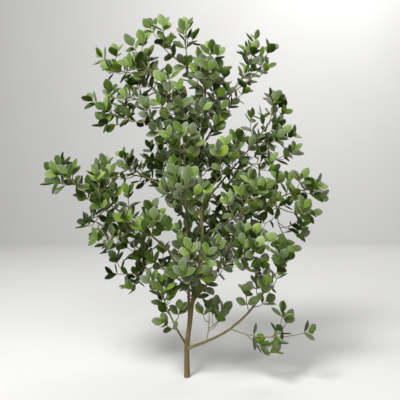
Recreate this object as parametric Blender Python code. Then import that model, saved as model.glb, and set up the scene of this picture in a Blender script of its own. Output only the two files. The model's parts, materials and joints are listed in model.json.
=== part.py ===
"""Common boxwood: a slender stem with an open, loosely branched crown, cut flat at the ground.

Metres, +Z up. The origin is the centre of the cut. +X is the plant's right and +Y its back.
"""

import math
import random
from collections import namedtuple

import bmesh
import bpy
from mathutils import Matrix, Vector
from mathutils.bvhtree import BVHTree

PLANT = "common_boxwood"
GAP = 0.0003  # between one solid and the next
CLEARANCE = 0.0006  # kept round a twig or leaf when it is tested against its neighbours

LEAF_LENGTH = 0.030
LEAF_WIDTH = 0.0185
LEAF_THICKNESS = 0.0011
LEAF_CORNERS = 5
LEAF_SHOULDER = 0.56  # where the blade is widest, as a share of its length
LEAF_CREST = 0.40  # where it is thickest
LEAF_TIP = 0.19  # half the width of its blunt tip, as a share of its width
LEAF_SINK = 0.0002  # how far a leaf's foot runs past its twig's centre line
LEAF_SPREAD = (54, 36)  # degrees from the twig, on a side pair and in a tip's rosette
LEAF_REACH = 0.75  # how far a tip's leaves run on past it, as a share of their length
ROSETTE = 3  # leaves at each tip
INTERNODE = 0.031  # from one pair of leaves to the next
BARE_SHARE = 0.12  # the part of a spray's stem that has shed its leaves
PAIR_SIZE = (0.90, 1.08)  # least and most size of a leaf in a pair
TIP_SIZE = (0.82, 1.00)  # and in a rosette
ROSETTE_STEP = (0.0009, 0.0016)  # a rosette's first leaf is this far short of the tip, and each next
TRIES = 6  # turns tried for a leaf before it is left out
SPREAD_PLAY = 9  # degrees that a leaf's spread varies by
TURN_PLAY = 0.35
FACE_UP = 0.45  # how far a leaf's upper face turns to the sky
FREE_FROM = 0.15  # the share of a leaf, from its foot, that may touch its own twig
LOWEST = 0.005  # of any leaf's tip

STEM_RADIUS = (0.0011, 0.0008)  # a spray's stem, at its root and its tip
TWIG_RADIUS = (0.0009, 0.0007)
TWIG_FOOT = 0.0004  # its radius where it sits inside the stem
STEM_SAG = 0.09  # a stem dips by this share of its length and then turns up
TWIG_SHARE = (0.26, 0.42)  # a side twig's length, as a share of its stem's
TWIG_ANGLE = math.radians(52)
TWIG_ZONE = (0.14, 0.82)  # the part of the stem that side twigs spring from
TWIG_PLAY = (0.2, 0.8)  # where in its share of that part a twig springs
TWIG_RISE = 0.15  # how far it turns up
TWIG_SAG = 0.10
TWIG_WOBBLE = 0.0004
TURN = math.radians(137.5)  # from one side twig to the next, round the stem
SPACE_RADIUS = 0.066  # of the space round its stem that a spray keeps to
LIMB_STEPS = 3
LIMB_WOBBLE = 0.0012
LEAST_SINE = 0.3  # of the angle between a stem and its limb, for its start
WELD = 0.00002
SHARP = math.radians(35)

# height, across, back, radius
TRUNK_RUN = (
    (0.000, 0.000, 0.000, 0.0046),
    (0.018, 0.000, 0.000, 0.0042),
    (0.049, 0.000, 0.000, 0.0038),
    (0.087, 0.005, 0.001, 0.0035),
    (0.113, 0.008, 0.002, 0.0033),
    (0.136, 0.014, 0.003, 0.0031),
    (0.157, 0.017, 0.004, 0.0030),
    (0.195, 0.022, 0.003, 0.0027),
    (0.230, 0.023, 0.000, 0.0025),
    (0.256, 0.021, -0.003, 0.0023),
    (0.302, 0.021, -0.003, 0.0020),
    (0.348, 0.023, 0.000, 0.0018),
    (0.395, 0.027, 0.003, 0.0015),
    (0.430, 0.028, 0.003, 0.0013),
    (0.453, 0.025, 0.002, 0.0012),
    (0.465, 0.015, 0.000, 0.0011),
    (0.477, 0.005, -0.002, 0.0010),
)

# at is the share of the parent's length where it starts. reach runs from there to the tip:
# across, back, up. arch lifts the middle, and a negative one lets it sag and turn up.
Limb = namedtuple("Limb", "name parent at reach arch root_radius tip_radius")
LIMBS = (
    Limb("second_stem", "trunk", 0.16, (-0.006, -0.036, 0.247), 0.000, 0.0024, 0.0011),
    Limb("bough_low_right", "trunk", 0.09, (0.127, -0.045, 0.116), -0.018, 0.0021, 0.0013),
    Limb("bough_low_left", "trunk", 0.10, (-0.027, -0.020, 0.056), -0.002, 0.0018, 0.0012),
    Limb("bough_long_left", "second_stem", 0.37, (-0.170, -0.042, 0.129), 0.008, 0.0016, 0.0010),
    Limb("bough_lower_left", "second_stem", 0.25, (-0.096, 0.063, 0.064), -0.002, 0.0013, 0.0010),
    Limb("bough_left_middle", "second_stem", 0.75, (-0.097, 0.086, 0.051), 0.011, 0.0012, 0.0010),
    Limb("bough_left_high", "trunk", 0.65, (-0.076, -0.023, 0.081), 0.002, 0.0013, 0.0010),
    Limb("bough_upper_left", "trunk", 0.72, (-0.062, -0.035, 0.104), -0.004, 0.0013, 0.0010),
    Limb("bough_upper_left_long", "bough_upper_left", 0.54, (-0.069, 0.050, 0.069), 0.002, 0.0011, 0.0010),
    Limb("bough_right_fork", "trunk", 0.24, (0.071, -0.060, 0.142), -0.012, 0.0018, 0.0010),
    Limb("bough_right_low", "trunk", 0.44, (0.144, -0.027, 0.074), 0.006, 0.0015, 0.0010),
    Limb("bough_right_upper", "trunk", 0.54, (0.123, 0.063, 0.151), -0.002, 0.0015, 0.0010),
    Limb("bough_upper_right", "trunk", 0.73, (0.055, 0.045, 0.104), 0.000, 0.0013, 0.0010),
    Limb("bough_back_right", "trunk", 0.36, (0.046, 0.106, 0.085), -0.003, 0.0015, 0.0010),
    Limb("bough_back_left", "trunk", 0.47, (-0.067, 0.110, 0.081), 0.003, 0.0015, 0.0010),
)

# reach runs from the limb to the outermost leaf, and twigs is how many spring from the stem.
Spray = namedtuple("Spray", "name limb at reach twigs")
SPRAYS = (
    Spray("foliage_top_leader", "trunk", 1.00, (-0.008, 0.002, 0.077), 1),
    Spray("foliage_top_left", "trunk", 0.98, (-0.078, -0.036, 0.066), 1),
    Spray("foliage_top_centre", "trunk", 0.89, (0.010, -0.050, 0.074), 2),
    Spray("foliage_inner_high", "trunk", 0.74, (-0.042, -0.045, 0.090), 4),
    Spray("foliage_top_right", "bough_upper_right", 1.00, (0.040, 0.020, 0.093), 2),
    Spray("foliage_top_right_far", "bough_upper_right", 0.86, (0.073, -0.012, 0.081), 1),
    Spray("foliage_upper_right_inner", "bough_upper_right", 0.16, (0.027, -0.030, 0.051), 3),
    Spray("foliage_upper_left_tip", "bough_upper_left", 1.00, (-0.050, -0.022, 0.052), 3),
    Spray("foliage_upper_left_far", "bough_upper_left_long", 1.00, (-0.071, 0.018, 0.038), 2),
    Spray("foliage_upper_left_low", "bough_upper_left_long", 0.50, (-0.090, 0.060, -0.002), 2),
    Spray("foliage_left_high_tip", "bough_left_high", 0.88, (-0.110, -0.012, 0.034), 3),
    Spray("foliage_second_stem_tip", "second_stem", 1.00, (-0.004, -0.033, 0.059), 3),
    Spray("foliage_second_stem_front", "second_stem", 0.72, (-0.016, -0.090, 0.061), 3),
    Spray("foliage_front_low", "second_stem", 0.30, (0.005, -0.102, 0.060), 3),
    Spray("foliage_left_middle_tip", "bough_left_middle", 1.00, (-0.074, 0.028, 0.001), 2),
    Spray("foliage_left_middle_rise", "bough_left_middle", 0.62, (-0.056, 0.025, 0.049), 1),
    Spray("foliage_long_left_tip", "bough_long_left", 1.00, (-0.039, -0.010, -0.007), 2),
    Spray("foliage_long_left_rise", "bough_long_left", 0.94, (-0.036, 0.002, 0.047), 1),
    Spray("foliage_long_left_mid_rise", "bough_long_left", 0.68, (-0.022, -0.050, 0.054), 2),
    Spray("foliage_long_left_mid_drop", "bough_long_left", 0.70, (-0.046, 0.051, -0.032), 2),
    Spray("foliage_long_left_inner_drop", "bough_long_left", 0.43, (-0.072, -0.055, -0.015), 2),
    Spray("foliage_long_left_inner_rise", "bough_long_left", 0.34, (0.010, -0.072, 0.030), 2),
    Spray("foliage_lower_left_tip", "bough_lower_left", 1.00, (-0.059, 0.030, -0.011), 2),
    Spray("foliage_lower_left_drop", "bough_lower_left", 0.50, (-0.090, 0.030, -0.024), 3),
    Spray("foliage_low_left", "bough_low_left", 1.00, (-0.013, -0.014, 0.064), 4),
    Spray("foliage_back_left", "bough_back_left", 1.00, (-0.008, 0.040, 0.072), 3),
    Spray("foliage_back_left_rise", "bough_back_left", 0.54, (0.015, 0.067, 0.093), 3),
    Spray("foliage_back_right", "bough_back_right", 1.00, (0.045, 0.042, 0.064), 3),
    Spray("foliage_back_right_low", "bough_back_right", 0.55, (0.054, 0.070, 0.008), 2),
    Spray("foliage_right_fork_tip", "bough_right_fork", 1.00, (0.018, -0.016, 0.058), 3),
    Spray("foliage_right_fork_side", "bough_right_fork", 0.50, (0.068, -0.070, 0.040), 3),
    Spray("foliage_low_right_tip", "bough_low_right", 1.00, (0.022, 0.004, 0.047), 3),
    Spray("foliage_low_right_outer", "bough_low_right", 0.42, (0.130, -0.030, 0.000), 2),
    Spray("foliage_low_right_rise", "bough_low_right", 0.19, (0.006, 0.012, 0.066), 2),
    Spray("foliage_right_low_tip", "bough_right_low", 1.00, (0.043, -0.010, 0.009), 2),
    Spray("foliage_right_low_inner", "bough_right_low", 0.72, (0.071, -0.044, -0.022), 2),
    Spray("foliage_right_low_drop", "bough_right_low", 0.78, (0.030, 0.015, -0.092), 3),
    Spray("foliage_right_upper_tip", "bough_right_upper", 1.00, (0.004, 0.016, 0.045), 2),
    Spray("foliage_right_upper_side", "bough_right_upper", 0.70, (0.076, -0.001, 0.012), 2),
    Spray("foliage_right_upper_low", "bough_right_upper", 0.47, (0.106, 0.050, 0.022), 2),
    Spray("foliage_right_inner", "trunk", 0.57, (0.062, -0.057, 0.100), 3),
)

# Sprays set round the trunk by the same turn, out on all sides: how many, the shares of the
# trunk's length that they start at, how far out and up the lowest and the highest reach, the
# angle of the lowest in degrees from +X and how many side twigs each has.
Ring = namedtuple("Ring", "name limb count shares out up first twigs")
RINGS = (
    Ring("foliage_inner_trunk", "trunk", 3, (0.40, 0.88), (0.105, 0.070), (0.045, 0.050), -5, 2),
)

# red, green, blue, roughness
BARK = (0.36, 0.26, 0.17, 0.85)
LEAF_GREENS = ((0.10, 0.20, 0.035, 0.5), (0.16, 0.27, 0.04, 0.48), (0.14, 0.20, 0.09, 0.55))

UP = Vector((0, 0, 1))
ACROSS = Vector((1, 0, 0))


def new_collection(name):
    made = bpy.data.collections.new(name)
    bpy.context.scene.collection.children.link(made)
    return made


def plain_material(name, finish):
    made = bpy.data.materials.new(name)
    made.use_nodes = True
    shader = made.node_tree.nodes["Principled BSDF"]
    shader.inputs["Base Color"].default_value = (*finish[:3], 1)
    shader.inputs["Roughness"].default_value = finish[3]
    shader.inputs["Metallic"].default_value = 0
    made.diffuse_color = (*finish[:3], 1)
    return made


def across(direction):
    """A unit vector square to a direction, level unless the direction is nearly upright."""
    side = direction.cross(UP)
    if side.length < 0.1 * direction.length:
        side = direction.cross(ACROSS)
    return side.normalized()


def smooth_run(points, steps):
    """Points on a smooth curve through the given ones, with their radii as a fourth number."""
    run = []
    last = len(points) - 1
    for i in range(last):
        before, a, b, after = (points[max(0, min(last, i + k))] for k in (-1, 0, 1, 2))
        for s in range(steps):
            t = s / steps
            bend = (b - before) * 0.5 * t * (1 - t) ** 2 - (after - a) * 0.5 * (1 - t) * t ** 2
            run.append(a.lerp(b, t * t * (3 - 2 * t)) + bend)
    run.append(points[last])
    return run


def place_on(run, share):
    """The point, direction and radius at a share of a run's length."""
    lengths = [(b - a).to_3d().length for a, b in zip(run, run[1:])]
    left = share * sum(lengths)
    for i, length in enumerate(lengths):
        if left <= length or i == len(lengths) - 1:
            here = run[i].lerp(run[i + 1], min(1, left / length))
            return here.to_3d(), (run[i + 1] - run[i]).to_3d().normalized(), here.w
        left -= length


def arched_run(root, reach, arch, radii, steps, wobble, dice):
    """A run from root along reach, whose middle is lifted by arch, with small seeded kinks."""
    side = across(reach)
    lift = side.cross(reach).normalized()
    run = []
    for i in range(steps + 1):
        t = i / steps
        here = root + reach * t + lift * (arch * 4 * t * (1 - t))
        if 0 < i < steps:
            here += side * dice.uniform(-wobble, wobble) + lift * dice.uniform(-wobble, wobble)
        run.append(here.to_4d())
        run[-1].w = radii[0] + (radii[1] - radii[0]) * t
    return run


def curve_tube(name, run, collection, corners=None, grow=0.0):
    """A tapering tube along a run: a curve with filled caps, made a mesh with its caps welded."""
    curve = bpy.data.curves.new(name, "CURVE")
    curve.dimensions = "3D"
    curve.use_fill_caps = True
    if corners:
        curve.bevel_mode = "OBJECT"
        curve.bevel_object = corners
    else:
        curve.bevel_depth = 1.0
        curve.bevel_resolution = 1
    spline = curve.splines.new("POLY")
    spline.points.add(len(run) - 1)
    for point, here in zip(spline.points, run):
        point.co = (here.x, here.y, here.z, 1)
        point.radius = here.w + grow
    return curve_to_mesh_object(bpy.data.objects.new(name, curve), collection)


def curve_to_mesh_object(curve_object, collection):
    collection.objects.link(curve_object)
    graph = bpy.context.evaluated_depsgraph_get()
    mesh = bpy.data.meshes.new_from_object(curve_object.evaluated_get(graph))
    work = bmesh.new()
    work.from_mesh(mesh)
    bmesh.ops.remove_doubles(work, verts=work.verts, dist=WELD)
    bmesh.ops.recalc_face_normals(work, faces=work.faces)
    work.to_mesh(mesh)
    work.free()
    name = curve_object.name
    place = curve_object.matrix_world.copy()
    bpy.data.objects.remove(curve_object)
    made = bpy.data.objects.new(name, mesh)
    made.matrix_world = place
    collection.objects.link(made)
    return made


def twig_section():
    """The three-cornered section that every twig is drawn with, for a radius of 1."""
    curve = bpy.data.curves.new("twig_section", "CURVE")
    spline = curve.splines.new("POLY")
    spline.points.add(2)
    for i, point in enumerate(spline.points):
        angle = math.tau * i / 3
        point.co = (math.cos(angle), math.sin(angle), 0, 1)
    spline.use_cyclic_u = True
    return bpy.data.objects.new("twig_section", curve)


def leaf_shape():
    """One spoon-shaped leaf along +X, of length 1 and width 1: flat below, and ridged above."""
    work = bmesh.new()
    turn = Matrix.Rotation(math.pi / 2, 4, "Z")
    bmesh.ops.create_cone(
        work, cap_ends=True, segments=LEAF_CORNERS, radius1=1, radius2=0, depth=1, matrix=turn
    )
    bmesh.ops.remove_doubles(work, verts=work.verts, dist=WELD)
    crest = max(work.verts, key=lambda vert: vert.co.z)
    foot = min(work.verts, key=lambda vert: vert.co.x)
    for vert in work.verts:
        if vert.co.x > 0:
            vert.co = (1, math.copysign(LEAF_TIP, vert.co.y), 0)
        else:
            vert.co = (LEAF_SHOULDER, math.copysign(0.5, vert.co.y), 0)
    crest.co = (LEAF_CREST, 0, LEAF_THICKNESS)
    foot.co = (0, 0, 0)
    mesh = bpy.data.meshes.new("leaf_shape")
    work.to_mesh(mesh)
    work.free()
    return mesh


def leaf_matrix(foot, direction, face, size):
    """Places the unit leaf: foot sunk past the twig's centre, blade along direction."""
    along = direction.normalized()
    side = face.cross(along).normalized()
    normal = along.cross(side)
    start = foot - along * LEAF_SINK
    length = LEAF_LENGTH * size
    width = LEAF_WIDTH * size
    turn = Matrix((along * length, side * width, normal)).transposed().to_4x4()
    return Matrix.Translation(start) @ turn


def leaf_points(mesh, matrix, swell=0.0, start=0.0):
    """The leaf's corners in the world. For a test it is swollen, or begins past its foot."""
    points = []
    for vert in mesh.vertices:
        x, y, z = vert.co
        if x < start:
            x = start
        grown = y * (1 + 2 * swell / LEAF_WIDTH)
        level = z + swell if z > 0 else -swell
        points.append(matrix @ Vector((x, grown, level)))
    return points


class Crowd:
    """Everything placed so far, for testing what comes next against it."""

    def __init__(self):
        self.items = []

    def add(self, owner, points, faces):
        tree = BVHTree.FromPolygons(points, faces)
        low = [min(p[k] for p in points) for k in range(3)]
        high = [max(p[k] for p in points) for k in range(3)]
        self.items.append((owner, low, high, tree))

    def touches(self, points, faces, skip=None, only=None):
        low = [min(p[k] for p in points) for k in range(3)]
        high = [max(p[k] for p in points) for k in range(3)]
        tree = None
        for owner, item_low, item_high, item in self.items:
            if owner == skip or (only and owner != only):
                continue
            if any(low[k] > item_high[k] or high[k] < item_low[k] for k in range(3)):
                continue
            tree = tree or BVHTree.FromPolygons(points, faces)
            if tree.overlap(item):
                return True
        return False


def prism(run, grow):
    """Corners and faces of a three-sided twig along a run, for testing."""
    points = []
    faces = []
    for i, here in enumerate(run):
        nearby = run[min(i + 1, len(run) - 1)] - run[max(i - 1, 0)]
        side = across(nearby.to_3d())
        lift = side.cross(nearby.to_3d()).normalized()
        for k in range(3):
            angle = math.tau * k / 3
            points.append(here.to_3d() + (side * math.cos(angle) + lift * math.sin(angle)) * (here.w + grow))
        if i:
            base = 3 * i
            faces += [(base - 3 + k, base - 3 + (k + 1) % 3, base + (k + 1) % 3, base + k) for k in range(3)]
    faces += [(0, 1, 2), (len(points) - 3, len(points) - 2, len(points) - 1)]
    return points, faces


def mesh_shape(thing):
    points = [thing.matrix_world @ v.co for v in thing.data.vertices]
    return points, [tuple(p.vertices) for p in thing.data.polygons]


def island_volumes(work):
    """The signed volume and faces of each separate shell in a triangulated bmesh."""
    left = set(work.faces)
    islands = []
    while left:
        stack = [left.pop()]
        faces = []
        while stack:
            face = stack.pop()
            faces.append(face)
            for edge in face.edges:
                for other in edge.link_faces:
                    if other in left:
                        left.remove(other)
                        stack.append(other)
        volume = sum(f.verts[0].co.dot(f.verts[1].co.cross(f.verts[2].co)) / 6 for f in faces)
        islands.append((volume, faces))
    return islands


def keep_main_shell(mesh):
    """Fills sealed hollows and drops loose scraps, and says whether the shell left is closed."""
    work = bmesh.new()
    work.from_mesh(mesh)
    bmesh.ops.triangulate(work, faces=work.faces)
    islands = sorted(island_volumes(work), key=lambda island: island[0])
    for _, faces in islands[:-1]:
        bmesh.ops.delete(work, geom=faces, context="FACES")
    closed = bool(work.faces) and all(len(e.link_faces) == 2 for e in work.edges if e.link_faces)
    wires = [e for e in work.edges if not e.link_faces]
    bmesh.ops.delete(work, geom=wires, context="EDGES")
    loose = [v for v in work.verts if not v.link_faces]
    bmesh.ops.delete(work, geom=loose, context="VERTS")
    work.to_mesh(mesh)
    work.free()
    return closed


def apply_boolean(base, operation, cutter=None, members=None):
    """Applies one Boolean, by the exact solver and, where its result isn't closed, the other one."""
    for solver in ("EXACT", "MANIFOLD"):
        change = base.modifiers.new("join", "BOOLEAN")
        change.operation = operation
        change.solver = solver
        if members:
            change.operand_type = "COLLECTION"
            change.collection = members
        else:
            change.object = cutter
        graph = bpy.context.evaluated_depsgraph_get()
        result = bpy.data.meshes.new_from_object(base.evaluated_get(graph))
        base.modifiers.remove(change)
        if keep_main_shell(result):
            base.data = result
            return
    raise RuntimeError(base.name + " has no closed result")


def finish_object(thing, material):
    thing.data.materials.clear()
    thing.data.materials.append(material)
    thing.data.shade_smooth()
    thing.data.set_sharp_from_angle(angle=SHARP)


def build_limbs(parts, cutters, crowd):
    """The trunk, and every bough cut clear of the limb that carries it."""
    bark = plain_material("boxwood_bark", BARK)
    runs = {"trunk": [Vector((x, y, z, r)) for z, x, y, r in TRUNK_RUN]}
    trunk = curve_tube("trunk", runs["trunk"], parts)
    finish_object(trunk, bark)
    crowd.add("trunk", *mesh_shape(trunk))
    for limb in LIMBS:
        parent = runs[limb.parent]
        root = place_on(parent, limb.at)[0]
        radii = (limb.root_radius, limb.tip_radius)
        dice = random.Random(limb.name)
        rough = arched_run(root, Vector(limb.reach), limb.arch, radii, LIMB_STEPS, LIMB_WOBBLE, dice)
        runs[limb.name] = smooth_run(rough, 2)
        bough = curve_tube(limb.name, runs[limb.name], parts)
        cutter = curve_tube(limb.name + "_cutter", parent, cutters, grow=GAP)
        cutter.hide_render = True
        cutter.display_type = "WIRE"
        apply_boolean(bough, "DIFFERENCE", cutter=cutter)
        finish_object(bough, plain_material(limb.name + "_bark", BARK))
        crowd.add(limb.name, *mesh_shape(bough))
    return runs


def clear_start(limb_run, at, heading, radius):
    """Where a stem of this heading and radius starts, so that its foot is just clear of the limb."""
    point, axis, limb_radius = place_on(limb_run, at)
    cosine = abs(heading.dot(axis))
    sine = math.sqrt(max(0.0, 1 - cosine ** 2))
    if at >= 1:
        return point + axis * (GAP + radius * sine)
    return point + heading * ((limb_radius + GAP + radius * cosine) / max(sine, LEAST_SINE))


def stem_run(spray, limb_runs, dice):
    """A spray's stem, which ends short of its reach by as far as the last leaves run on."""
    limb_run = limb_runs[spray.limb]
    root = place_on(limb_run, spray.at)[0]
    reach = Vector(spray.reach)
    reach *= 1 - LEAF_REACH * LEAF_LENGTH / reach.length
    steps = max(2, round(reach.length / INTERNODE))
    run = arched_run(root, reach, -STEM_SAG * reach.length, STEM_RADIUS, steps, LIMB_WOBBLE, dice)
    heading = (run[1] - run[0]).to_3d().normalized()
    foot = clear_start(limb_run, spray.at, heading, STEM_RADIUS[0])
    run[0] = foot.to_4d()
    run[0].w = STEM_RADIUS[0]
    return run


def twig_runs(stem, count, dice):
    """Side twigs round a stem, each turned on from the last by the same angle."""
    length = sum((b - a).to_3d().length for a, b in zip(stem, stem[1:]))
    phase = dice.uniform(0, math.tau)
    runs = []
    for k in range(count):
        share = TWIG_ZONE[0] + (TWIG_ZONE[1] - TWIG_ZONE[0]) * (k + dice.uniform(*TWIG_PLAY)) / count
        root, axis = place_on(stem, share)[:2]
        side = Matrix.Rotation(phase + k * TURN, 3, axis) @ across(axis)
        heading = axis * math.cos(TWIG_ANGLE) + side * math.sin(TWIG_ANGLE) + UP * TWIG_RISE
        size = dice.uniform(*TWIG_SHARE) * length
        reach = heading.normalized() * size
        run = arched_run(root, reach, -TWIG_SAG * size, TWIG_RADIUS, 2, TWIG_WOBBLE, dice)
        run[0].w = TWIG_FOOT
        runs.append(run)
    return runs


def leaf_seats(run, bare, dice):
    """Where the leaves of one twig go: pairs at the nodes, each turned a right angle, then a rosette."""
    seats = []
    turn = dice.uniform(0, math.pi)
    nodes = len(run) - 1
    for i in range(1, nodes):
        axis = (run[i + 1] - run[i - 1]).to_3d().normalized()
        turn += math.pi / 2
        if i < bare * nodes:
            continue
        for k in range(2):
            size = dice.uniform(*PAIR_SIZE)
            seats.append((run[i].to_3d(), axis, turn + k * math.pi, LEAF_SPREAD[0], size))
    axis = (run[-1] - run[-2]).to_3d().normalized()
    for k in range(ROSETTE):
        foot = run[-1].to_3d() - axis * (ROSETTE_STEP[0] + ROSETTE_STEP[1] * k)
        angle = turn + math.pi / 2 + k * math.tau / ROSETTE
        seats.append((foot, axis, angle, LEAF_SPREAD[1], dice.uniform(*TIP_SIZE)))
    return seats


def distance_from(run, point):
    gaps = []
    for a, b in zip(run, run[1:]):
        a, b = a.to_3d(), b.to_3d()
        t = max(0, min(1, (point - a).dot(b - a) / (b - a).length_squared))
        gaps.append((a.lerp(b, t) - point).length)
    return min(gaps)


def seat_leaf(shape, faces, seat, name, stem, crowd, dice):
    """A leaf's matrix at a seat, turned a little until it is clear of everything, or None."""
    foot, axis, turn, spread, size = seat
    for _ in range(TRIES):
        opening = math.radians(spread + dice.uniform(-SPREAD_PLAY, SPREAD_PLAY))
        side = Matrix.Rotation(turn + dice.uniform(-TURN_PLAY, TURN_PLAY), 3, axis) @ across(axis)
        along = axis * math.cos(opening) + side * math.sin(opening)
        face = axis - along * axis.dot(along) + (UP - along * UP.dot(along)) * FACE_UP
        matrix = leaf_matrix(foot, along, face, size)
        tip = matrix @ ACROSS
        if tip.z < LOWEST or distance_from(stem, tip) > SPACE_RADIUS:
            continue
        whole = leaf_points(shape, matrix, CLEARANCE)
        outer = leaf_points(shape, matrix, CLEARANCE / 2, FREE_FROM)
        if crowd.touches(whole, faces, skip=name) or crowd.touches(outer, faces, only=name):
            continue
        return matrix
    return None


def ring_sprays():
    """The sprays of every ring, written out as the table's are."""
    rows = []
    for ring in RINGS:
        for k in range(ring.count):
            t = k / (ring.count - 1)
            angle = math.radians(ring.first) + k * TURN
            at, out, up = (pair[0] + (pair[1] - pair[0]) * t for pair in (ring.shares, ring.out, ring.up))
            reach = (out * math.cos(angle), out * math.sin(angle), up)
            rows.append(Spray(f"{ring.name}_{k + 1}", ring.limb, at, reach, ring.twigs))
    return tuple(rows)


def plan_twigs(limb_runs, crowd):
    """Each spray's stem and side twigs, and its dice. A twig that would touch another is left out."""
    plans = {}
    for spray in SPRAYS + ring_sprays():
        dice = random.Random(spray.name)
        stem = stem_run(spray, limb_runs, dice)
        if crowd.touches(*prism(stem, CLEARANCE / 2)):
            raise RuntimeError(spray.name + " has no room for its stem")
        crowd.add(spray.name, *prism(stem, 0))
        plans[spray.name] = (dice, spray.twigs, [stem])
    for name, (dice, count, runs) in plans.items():
        for twig in twig_runs(runs[0], count, dice):
            if not crowd.touches(*prism(twig, CLEARANCE), skip=name):
                crowd.add(name, *prism(twig, 0))
                runs.append(twig)
    return plans


def plan_leaves(plans, shape, crowd):
    """Each spray's leaves, as matrices: the rosettes at the tips first, then the pairs."""
    faces = [tuple(p.vertices) for p in shape.polygons]
    seats = []
    for name, (dice, _, runs) in plans.items():
        for run in runs:
            bare = BARE_SHARE if run is runs[0] else 0
            seats += [(name, seat) for seat in leaf_seats(run, bare, dice)]
    seats.sort(key=lambda row: row[1][3])
    leaves = {name: [] for name in plans}
    for name, seat in seats:
        dice, _, runs = plans[name]
        matrix = seat_leaf(shape, faces, seat, name, runs[0], crowd, dice)
        if matrix:
            leaves[name].append(matrix)
            crowd.add(name, leaf_points(shape, matrix), faces)
    return leaves


def build_sprays(parts, joining, limb_runs, crowd):
    """Every spray of foliage: stem, twigs and leaves, joined into one solid."""
    shape = leaf_shape()
    plans = plan_twigs(limb_runs, crowd)
    leaves = plan_leaves(plans, shape, crowd)
    section = twig_section()
    for number, (name, (_, _, runs)) in enumerate(plans.items()):
        stem = curve_tube(name, runs[0], parts, corners=section)
        for run in runs[1:]:
            curve_tube(name + "_twig", run, joining, corners=section)
        for matrix in leaves[name]:
            mesh = shape.copy()
            for vert, point in zip(mesh.vertices, leaf_points(shape, matrix)):
                vert.co = point
            joining.objects.link(bpy.data.objects.new(name + "_leaf", mesh))
        apply_boolean(stem, "UNION", members=joining)
        for piece in list(joining.objects):
            bpy.data.objects.remove(piece)
        green = LEAF_GREENS[number % len(LEAF_GREENS)]
        finish_object(stem, plain_material(name + "_foliage", green))
    bpy.data.objects.remove(section)


def main():
    for thing in list(bpy.data.objects):
        bpy.data.objects.remove(thing)
    parts = new_collection(PLANT)
    cutters = new_collection(PLANT + "_cutters")
    joining = new_collection(PLANT + "_joining")
    crowd = Crowd()
    limb_runs = build_limbs(parts, cutters, crowd)
    build_sprays(parts, joining, limb_runs, crowd)
    bpy.data.collections.remove(joining)


main()
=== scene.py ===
import json
import math
import random
from collections import namedtuple

import bmesh
import bpy
from mathutils import Matrix, Vector, noise
from mathutils.bvhtree import BVHTree
from mathutils.kdtree import KDTree

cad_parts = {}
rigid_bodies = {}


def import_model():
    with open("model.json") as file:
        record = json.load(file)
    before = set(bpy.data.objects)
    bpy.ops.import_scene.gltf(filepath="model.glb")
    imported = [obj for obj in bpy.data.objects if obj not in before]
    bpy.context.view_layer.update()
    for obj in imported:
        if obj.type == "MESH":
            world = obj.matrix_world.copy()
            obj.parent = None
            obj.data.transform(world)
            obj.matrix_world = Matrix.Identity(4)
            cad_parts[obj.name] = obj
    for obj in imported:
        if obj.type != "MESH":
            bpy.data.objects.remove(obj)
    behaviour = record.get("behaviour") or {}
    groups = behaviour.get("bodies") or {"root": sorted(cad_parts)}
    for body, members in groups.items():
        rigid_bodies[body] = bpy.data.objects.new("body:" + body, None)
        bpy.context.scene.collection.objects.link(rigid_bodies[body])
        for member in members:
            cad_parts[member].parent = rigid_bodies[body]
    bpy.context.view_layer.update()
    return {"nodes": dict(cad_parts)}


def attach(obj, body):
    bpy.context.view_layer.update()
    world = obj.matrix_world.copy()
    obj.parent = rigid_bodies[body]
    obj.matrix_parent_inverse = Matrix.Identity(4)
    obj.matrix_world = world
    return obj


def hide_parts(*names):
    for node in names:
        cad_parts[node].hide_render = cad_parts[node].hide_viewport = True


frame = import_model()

print("Frame loaded:", len(frame["nodes"]), "nodes")

up = Vector((0, 0, 1))
acrossX = Vector((1, 0, 0))
front = Vector((0, -1, 0))
turnAngle = math.radians(137.5)  # from one side twig to the next, round its stem

# height, across, back, radius
trunkRun = (
    (0.000, 0.000, 0.000, 0.0046),
    (0.018, 0.000, 0.000, 0.0042),
    (0.049, 0.000, 0.000, 0.0038),
    (0.087, 0.005, 0.001, 0.0035),
    (0.113, 0.008, 0.002, 0.0033),
    (0.136, 0.014, 0.003, 0.0031),
    (0.157, 0.017, 0.004, 0.0030),
    (0.195, 0.022, 0.003, 0.0027),
    (0.230, 0.023, 0.000, 0.0025),
    (0.256, 0.021, -0.003, 0.0023),
    (0.302, 0.021, -0.003, 0.0020),
    (0.348, 0.023, 0.000, 0.0018),
    (0.395, 0.027, 0.003, 0.0015),
    (0.430, 0.028, 0.003, 0.0013),
    (0.453, 0.025, 0.002, 0.0012),
    (0.465, 0.015, 0.000, 0.0011),
    (0.477, 0.005, -0.002, 0.0010),
)

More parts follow.
